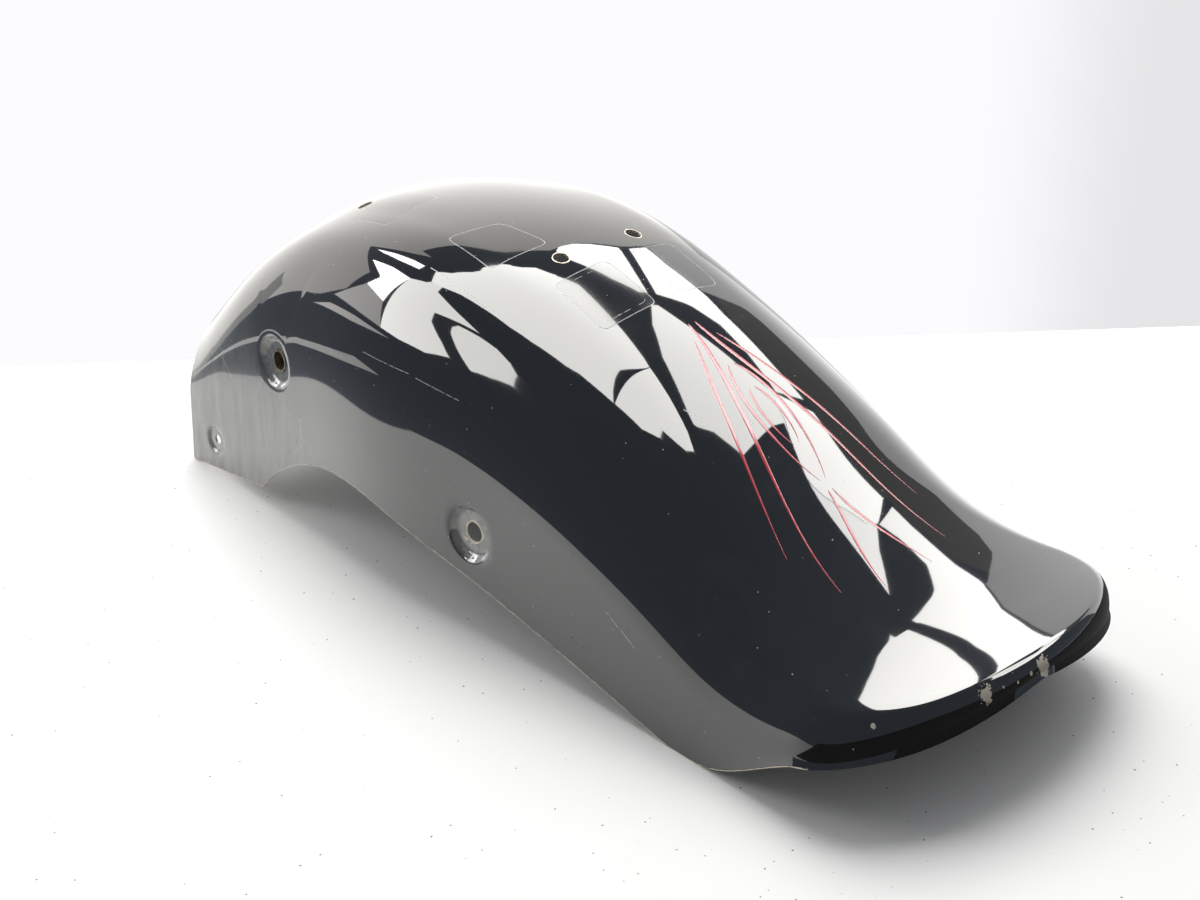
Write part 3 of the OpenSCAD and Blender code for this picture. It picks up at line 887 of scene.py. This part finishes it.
# The studio. The camera sees a pale table and a pale wall far behind it. The gloss mirrors panels
# that only glossy rays see: a dark room, a lit ceiling, windows and soft boxes, with corners given as
# (azimuth, elevation) in degrees. Their outlines and strengths suit the photo's view.
def white_table():
    """Satin white laminate: even, with small dark crumbs and a few grey scuffs."""
    made, tree = new_material("white_table")
    spot = add_node(tree, "ShaderNodeTexCoord").outputs["Object"]
    # crumbs up to 1 mm across, one in a cell of 15 mm where the draw is high; scuffs of 60 mm
    cells = add_node(
        tree, "ShaderNodeTexVoronoi", {"voronoi_dimensions": "2D"}, {"Vector": spot, "Scale": 1 / 0.015},
    )
    drawn = add_node(tree, "ShaderNodeSeparateColor", {}, {0: cells.outputs["Color"]})
    size = add_node(
        tree, "ShaderNodeMapRange", {}, {"Value": drawn.outputs[0], 1: 0.76, 2: 1.0, 3: 0.0, 4: 0.045},
    ).outputs[0]
    crumbs = add_node(
        tree, "ShaderNodeMath", {"operation": "LESS_THAN"}, {0: cells.outputs["Distance"], 1: size},
    ).outputs[0]
    scuffs = add_node(
        tree, "ShaderNodeTexNoise", {}, {"Vector": spot, "Scale": 16.0, "Detail": 6.0, "Roughness": 0.7},
    ).outputs["Fac"]
    scuffs = add_node(tree, "ShaderNodeMapRange", {}, {"Value": scuffs, 1: 0.62, 2: 0.85, 4: 0.12}).outputs[0]
    base = add_node(
        tree, "ShaderNodeMix", {"data_type": "RGBA"}, {0: scuffs, 6: colour("#e9e8e6"), 7: colour("#9a9896")},
    ).outputs[2]
    base = add_node(
        tree, "ShaderNodeMix", {"data_type": "RGBA"}, {0: crumbs, 6: base, 7: colour("#4a4846")},
    ).outputs[2]
    shader = add_node(tree, "ShaderNodeBsdfPrincipled", {}, {"Base Color": base, "Roughness": 0.55})
    add_node(tree, "ShaderNodeOutputMaterial", {}, {"Surface": shader.outputs[0]})
    return made


table_paint = white_table()


def white_wall():
    """Even white wall far behind the table that glows with painted light, a little dimmer to the right as
    painted shade.
    """
    made, tree = new_material("white_wall")
    spot = add_node(tree, "ShaderNodeTexCoord").outputs["Object"]
    along = add_node(
        tree, "ShaderNodeVectorMath", {"operation": "DOT_PRODUCT"}, {0: spot, 1: (0.700, 0.714, 0)},
    ).outputs["Value"]
    # painted shade: the wall's glow falls from 0.99 to 0.8 towards the right
    level = add_node(
        tree, "ShaderNodeMapRange", {"interpolation_type": "SMOOTHSTEP"},
        {"Value": along, 1: 1.15, 2: 1.8, 3: 0.99, 4: 0.8},
    ).outputs[0]
    shader = add_node(tree, "ShaderNodeEmission", {}, {"Color": colour("#fdfdff"), "Strength": level})
    add_node(tree, "ShaderNodeOutputMaterial", {}, {"Surface": shader.outputs[0]})
    return made


wall_paint = white_wall()
WALL_OUT = Vector((-0.772, 0.636, 0)) * 0.394
WALL_WAY = Vector((0.636, 0.772, 0))
left_end, right_end = WALL_OUT - WALL_WAY * 1.4, WALL_OUT + WALL_WAY * 3.0
table_rim = [
    left_end, (-0.95, -0.9, 0), (-0.62, -0.143, 0), (0.10, -0.545, 0), (0.75, -0.1, 0), (1.6, 0.4, 0),
    right_end,
]
plane("table", table_rim, table_paint)
WALL_FAR, WALL_SIDE = Vector((-0.714, 0.700, 0)) * 5.0, Vector((0.700, 0.714, 0)) * 7.0
WALL_FOOT, WALL_TOP = Vector((0, 0, -3)), Vector((0, 0, 6))
wall = plane("wall", [
    WALL_FAR - WALL_SIDE + WALL_FOOT, WALL_FAR + WALL_SIDE + WALL_FOOT,
    WALL_FAR + WALL_SIDE + WALL_TOP, WALL_FAR - WALL_SIDE + WALL_TOP,
], wall_paint)
wall.visible_glossy = False
wall.visible_diffuse = False
wall.visible_shadow = False

dark = glow("dark_room", 0.29, "#dfecff")
room = bpy.data.meshes.new("dark_room")
room.from_pydata(
    [(x, y, z) for x in (-30, 30) for y in (-30, 30) for z in (-30, 30)], [],
    [(0, 1, 3, 2), (4, 6, 7, 5), (0, 4, 5, 1), (2, 3, 7, 6), (0, 2, 6, 4), (1, 5, 7, 3)],
)
room.materials.append(dark)
room = bpy.data.objects.new("dark_room", room)
bpy.context.scene.collection.objects.link(room)
only_in_gloss(room)

ceiling = glow("lit_ceiling", 8.6, "#fffefb")
far_panel("ceiling", [
    (180, 60), (150, 58), (135, 55), (120, 57.5), (105, 62), (90, 64), (75, 65.3), (60, 67.5), (45, 70),
    (30, 75),
    (0, 81), (-30, 80), (-60, 76), (-90, 71.5), (-105, 66.4), (-108, 63), (-115, 57), (-120, 54), (-130, 51),
    (-138, 48), (-143, 44), (-147, 42), (-155, 46), (-156, 51), (-165, 58), (-172, 60),
], ceiling)
cloth = glow("soft_box_cloth", 7.6, "#fffefb")
far_panel("window_middle", [
    (-121, 39), (-130, 39.8), (-141, 40.8), (-143, 44), (-147, 42), (-147, 40), (-151, 35.4), (-140.7, 11),
    (-134, 12),
    (-127, 14.3), (-122.5, 19.3), (-125, 22.9), (-130, 27.1), (-132.5, 32.9), (-131, 34.5), (-127, 36),
], cloth)
far_panel("window_left", [
    (-113.3, 36), (-114.2, 38.3), (-116.5, 39), (-120.5, 37.5), (-125.5, 34.8), (-126, 32), (-125, 29.3),
    (-121.4, 24.3),
    (-118.9, 20.7), (-116.5, 24.6), (-114, 30),
], cloth)
bright = glow("window_glass", 12.0)
far_panel("window_right", [
    (-151, 35.4), (-160, 32), (-167, 26.8), (-157, 26), (-155, 24.6), (-155.6, 20), (-146, 20),
], bright)
dim_glass = glow("window_lower_glass", 2.6, "#f3f1ee")
far_panel("window_lower", [(-146, 20), (-155.6, 20), (-158, 8.6), (-150, 9.6), (-140.7, 11)], dim_glass)
far_panel(
    "window_sliver",
    [(-157, 40.5), (-160, 43.2), (-165, 40), (-171, 34.5), (-175, 29), (-172, 30.5), (-165, 35)], bright,
)
far_panel("window_sill", [(-136.5, 9.6), (-150, 7.4), (-157, 5.4), (-159, 2.6), (-150, 4.8)], dim_glass)
far_panel("side_box_near", [
    (130.5, 46), (127, 48.8), (121, 50.3), (114, 51), (108, 50), (107.2, 48.4), (119.8, 37.6), (123, 39.4),
    (128, 41.3),
    (130.3, 43.8),
], cloth)
far_panel("side_box_low", [
    (106.3, 47), (105.6, 45), (102.5, 42.5), (98, 41), (90, 41.3), (83, 41.8), (83, 37.2), (90, 37.8),
    (101, 37.2), (105, 36),
    (112, 35), (117, 32.5), (118.3, 36.2),
], cloth)
far_panel(
    "side_box_strip",
    [(82.5, 41.8), (80, 43.2), (75, 43), (65, 43.2), (60, 44.5), (57, 40), (72, 35.3), (80, 36.8)], ceiling,
)
far_panel("side_box_high", [
    (104.5, 51), (100, 55.6), (95, 58), (90, 60), (80, 61.3), (68, 61.9), (67, 58), (60, 51), (59.5, 48),
    (60, 44.6), (65, 43.3),
    (75, 43.1), (80, 43.3), (82, 41.9), (88, 45.6), (95, 47.8), (104, 49.7),
], cloth)
lit_wall = glow("lit_wall", 1.6, "#fffdf9")
far_panel("lit_wall_left", [
    (116.8, 20), (117.5, 32), (119.5, 36.5), (128, 41), (132, 46), (145, 47), (160, 47), (172, 46), (-176, 42),
    (-170, 46), (-172, 40),
    (-178, 27), (-160, 23.5), (-157.5, 13), (-160, 6), (-166, 0), (-166, -30), (165, -40), (140, -40),
    (117, -30),
], lit_wall)
CLOSER = 19.0  # m, in front of the other panels
far_panel(
    "lit_wall_low",
    [(117, -40), (117, 12), (140, 16), (165, 16), (-170, 14), (-166, 0), (-166, -30), (165, -45)],
    glow("lit_wall_low", 0.8, "#fbfcfa"), CLOSER,
)
shaded_wall = glow("shaded_wall", 1.5)
far_panel(
    "lit_wall_right",
    [
        (117, 20), (117, 31.8), (112, 34.6), (106, 35.5), (105.6, 31.3), (101, 29.2), (90, 28.6), (78, 29.4),
        (72, 10), (76, -30), (117, -30),
    ],
    shaded_wall,
)
# Dark cards keep the windows and the ceiling out of the tail's gloss. A near-black sheet on the table by the
# tail, seen only in the gloss, keeps the table out of the lip's gloss: painted floor shade for the lip to
# mirror.
window_flag = plane(
    "window_flag",
    [
        (0.085, -0.15, 0.10), (0.085, -1.1, 0.10), (0.085, -1.1, 1.5), (0.085, 0.03, 1.5), (0.085, 0.03, 0.32),
        (0.085, -0.15, 0.28),
    ],
    dark,
)
only_in_gloss(window_flag)
top_flag = plane("ceiling_flag", [(x, y, 0.35) for x, y in (
    (0.9, -0.5), (0.9, 0.2), (0.2, 0.2), (0.2, 0.17), (0.235, 0.05), (0.2, -0.03), (0.15, -0.09), (0.12, -0.13),
    (0.12, -0.5),
)], dark)
only_in_gloss(top_flag)
low_flag = plane(
    "low_flag", [(0.19, -0.16, 0.2), (0.32, -0.16, 0.2), (0.32, -0.03, 0.2), (0.19, -0.03, 0.2)], dark,
)
only_in_gloss(low_flag)
# painted floor shade: a near-black sheet lying on the table by the tail that only the gloss sees
painted_shade_sheet = plane(
    "painted_shade_by_tail", [(0.24, -1.3, 0.001), (1.8, -1.3, 0.001), (1.8, 1.2, 0.001), (0.24, 1.2, 0.001)],
    glow("painted_shade_sheet", 0.08),
)
only_in_gloss(painted_shade_sheet)
grey_box = glow("grey_box", 0.34)
far_panel(
    "grey_box",
    [
        (105.4, 33.8), (101, 36.3), (90, 37.1), (78, 36), (71, 34.5), (74, 31.2), (80, 29.6), (90, 29),
        (101, 29.4), (105, 31.3),
    ],
    grey_box,
)


def lamp_box(name, azimuth, elevation, distance, size, power, tint="#ffffff"):
    """A soft area light for the floor and the duller finishes."""
    lamp = bpy.data.lights.new(name, "AREA")
    lamp.shape = "RECTANGLE"
    lamp.size, lamp.size_y = size
    lamp.energy = power
    lamp.color = colour(tint)[:3]
    thing = bpy.data.objects.new(name, lamp)
    bpy.context.scene.collection.objects.link(thing)
    thing.location = towards(azimuth, elevation, distance)
    thing.rotation_mode = "QUATERNION"
    thing.rotation_quaternion = (-thing.location).to_track_quat("-Z", "Y")
    thing.visible_camera = False
    thing.visible_glossy = False
    return thing


lamp_box("ceiling_light", 150, 66, 2.2, (1.7, 1.7), 54)
lamp_box("window_light", -140, 32, 2.6, (1.2, 0.9), 14)

world = bpy.data.worlds.new("pale_world")
bpy.context.scene.world = world
world.use_nodes = True
sky_tree = world.node_tree
sky_tree.nodes.clear()
path = add_node(sky_tree, "ShaderNodeLightPath")
seen = add_node(
    sky_tree, "ShaderNodeMath", {"operation": "MAXIMUM"},
    {0: path.outputs["Is Camera Ray"], 1: path.outputs["Is Glossy Ray"]},
)
seen = add_node(
    sky_tree, "ShaderNodeMath", {"operation": "MAXIMUM"},
    {0: seen.outputs[0], 1: path.outputs["Is Transmission Ray"]},
)
pale = add_node(sky_tree, "ShaderNodeBackground", {}, {"Color": colour("#ffffff"), "Strength": 1.0})
dim = add_node(sky_tree, "ShaderNodeBackground", {}, {"Color": colour("#eef1f6"), "Strength": 0.38})
mixed = add_node(
    sky_tree, "ShaderNodeMixShader", {}, {0: seen.outputs[0], 1: dim.outputs[0], 2: pale.outputs[0]},
)
add_node(sky_tree, "ShaderNodeOutputWorld", {}, {"Surface": mixed.outputs[0]})

camera_data = bpy.data.cameras.new("camera")
camera_data.lens = 60.58
camera_data.sensor_width = 36.0
camera = bpy.data.objects.new("camera", camera_data)
bpy.context.scene.collection.objects.link(camera)
bpy.context.scene.camera = camera
camera.matrix_world = Matrix((
    (0.70022, -0.31019, 0.64302, 0.8749),
    (0.71392, 0.30423, -0.63068, -0.8717),
    (0.00000, 0.90068, 0.43448, 0.6852),
    (0, 0, 0, 1),
))
bpy.context.scene.view_settings.view_transform = "Standard"
